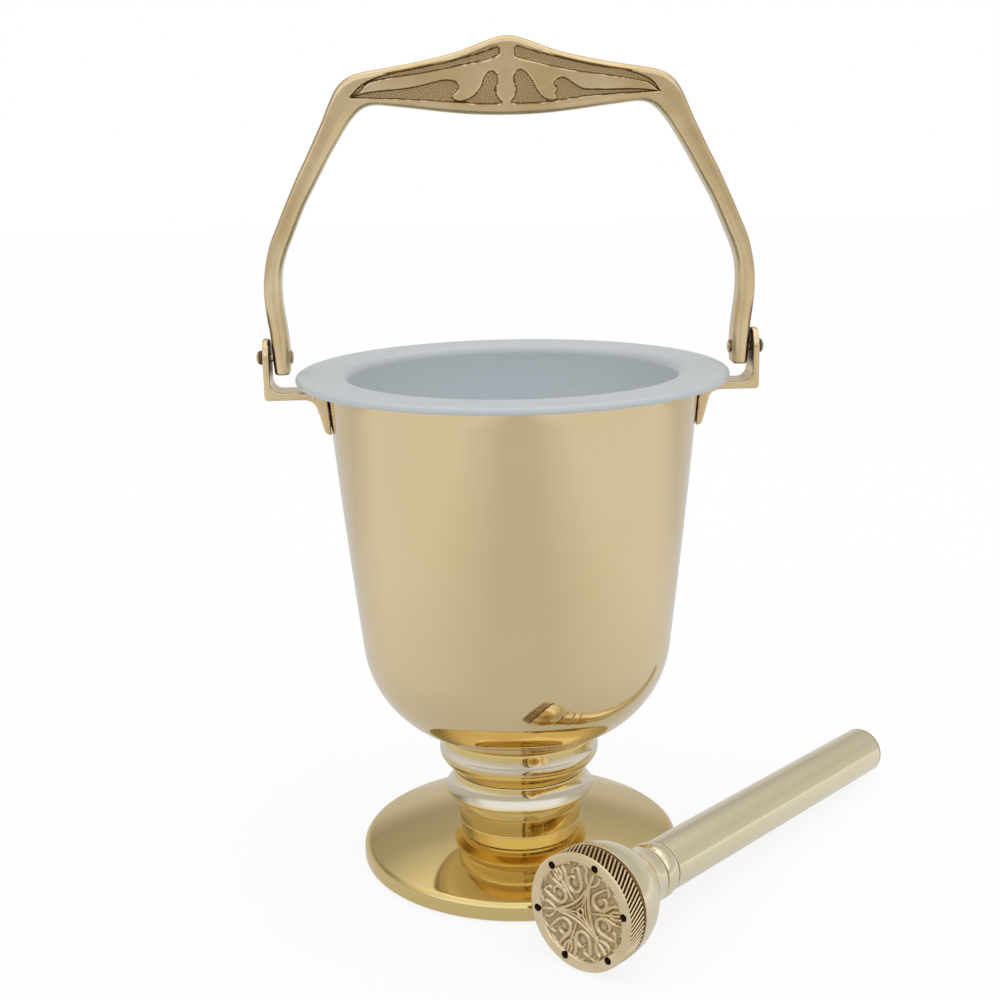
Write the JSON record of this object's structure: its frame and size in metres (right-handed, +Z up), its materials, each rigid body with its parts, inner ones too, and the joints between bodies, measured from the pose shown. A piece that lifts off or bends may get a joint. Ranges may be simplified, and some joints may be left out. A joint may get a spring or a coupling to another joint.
{
  "type": "holy water pot",
  "caption": "Footed brass holy water pot with a swinging bail, a lift-out liner and a matching sprinkler lying beside it",
  "frame": {"origin": "centre of the foot's flat underside, on the pot's own axis", "axes": "+X along the bail's pivots to the right seen from the front, +Y to the back, +Z up; the sprinkler lies in front, at -Y"},
  "size_m": [0.2115, 0.1564, 0.2585],
  "materials": {
    "polished_brass": "turned and polished",
    "satin_brass": "satin polished and lacquered",
    "cast_brass": "cast, hand polished",
    "engraved_brass": "cast ornament, dark in the recesses",
    "fixing_brass": "plain turned",
    "liner_plastic": "smooth moulded, semi-matt",
    "seal_rubber": "moulded, natural tan",
    "sponge_foam": "open cell foam"
  },
  "bodies": {
    "pot": {"foot": "polished_brass", "stem_collar": "polished_brass", "stem_knop": "polished_brass", "bowl": "satin_brass", "bowl_washer": "fixing_brass", "tie_nut": "fixing_brass", "tie_rod": "fixing_brass", "bracket_right": "cast_brass", "bracket_left": "cast_brass", "bracket_screw_right_1": "fixing_brass", "bracket_screw_right_2": "fixing_brass", "bracket_screw_left_1": "fixing_brass", "bracket_screw_left_2": "fixing_brass", "pivot_pin_right": "cast_brass", "pivot_pin_left": "cast_brass"},
    "bail": {"bail": "cast_brass"},
    "liner": {"liner": "liner_plastic"},
    "sprinkler": {"sprinkler_head": "satin_brass", "sponge": "sponge_foam", "handle_ferrule": "satin_brass", "handle_tube": "satin_brass", "handle_end_plug": "satin_brass"},
    "cap_carrier": {"cap_seal": "seal_rubber"},
    "cap": {"sprinkler_cap": "engraved_brass"}
  },
  "joints": [
    {"name": "bail_swing", "type": "hinge", "parent": "pot", "child": "bail", "pos_m": [0, 0, 0.1654], "axis": [1, 0, 0], "range_deg": [-120, 120]},
    {"name": "liner_lift", "type": "slide", "parent": "pot", "child": "liner", "axis": [0, 0, 1], "range_m": [0, 0.034]},
    {"name": "sprinkler_lift", "type": "slide", "parent": "pot", "child": "sprinkler", "axis": [0, 0, 1], "range_m": [0, 0.06]},
    {"name": "cap_travel", "type": "slide", "parent": "sprinkler", "child": "cap_carrier", "axis": [-0.6688, -0.7412, 0.0577], "range_m": [0, 0.0045]},
    {"name": "cap_turn", "type": "hinge", "parent": "cap_carrier", "child": "cap", "pos_m": [0.01201, -0.07896, 0.01804], "axis": [-0.6688, -0.7412, 0.0577], "range_deg": [0, 1080]}
  ],
  "couplings": [
    {"joint": "cap_travel", "follows": "cap_turn", "m_per_rad": 0.00023873}
  ]
}
